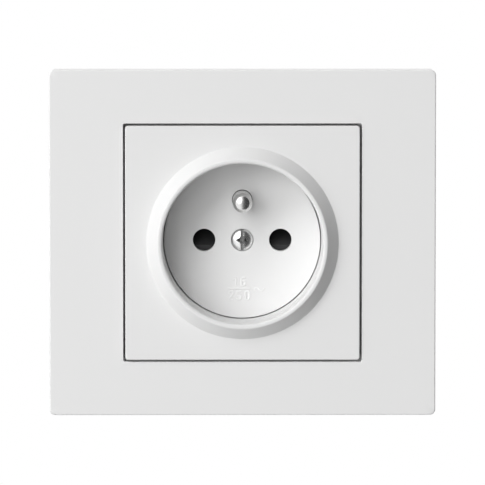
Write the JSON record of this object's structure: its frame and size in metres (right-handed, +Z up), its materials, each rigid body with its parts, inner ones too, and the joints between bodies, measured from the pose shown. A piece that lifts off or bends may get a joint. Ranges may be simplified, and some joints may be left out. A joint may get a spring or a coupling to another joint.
{
  "type": "wall socket",
  "caption": "Recessed wall socket with a wide flat frame, a square plate with a raised round lip, a plug recess with an earth pin, shuttered contact holes and a wall-box base.",
  "frame": {"origin": "midway between the two box screws, on the plane of the wall", "axes": "+X right and +Z up as seen from the room, -Y out of the wall towards the room"},
  "size_m": [0.0954, 0.0414, 0.0856],
  "materials": {
    "frame_plastic": "satin white",
    "plate_plastic": "gloss white",
    "disc_plastic": "gloss white",
    "base_plastic": "moulded dark grey",
    "shutter_plastic": "black",
    "screw_steel": "zinc plated",
    "plate_steel": "zinc plated sheet",
    "clamp_steel": "zinc plated",
    "spring_steel": "drawn wire",
    "brass": "rolled brass",
    "nickel": "nickel plated"
  },
  "bodies": {
    "socket": {"surround_frame": "frame_plastic", "centre_plate": "plate_plastic", "floor_disc": "disc_plastic", "cover_screw": "screw_steel", "screw_bush": "brass", "support_plate": "plate_steel", "plate_screws": "screw_steel", "socket_base": "base_plastic", "shutter_spring": "spring_steel", "left_contact": "brass", "right_contact": "brass", "earth_pin": "nickel", "earth_strap": "brass", "left_clamp_plate": "clamp_steel", "right_clamp_plate": "clamp_steel", "earth_clamp_plate": "clamp_steel", "left_terminal_screw": "screw_steel", "right_terminal_screw": "screw_steel", "earth_terminal_screw": "screw_steel"},
    "shutter": {"shutter": "shutter_plastic"}
  },
  "joints": [
    {"name": "shutter_slide", "type": "slide", "parent": "socket", "child": "shutter", "axis": [0, 0, -1], "range_m": [0, 0.0062], "stiffness_N_per_m": 60, "springref_m": -0.002, "deforming": ["shutter_spring"]}
  ]
}
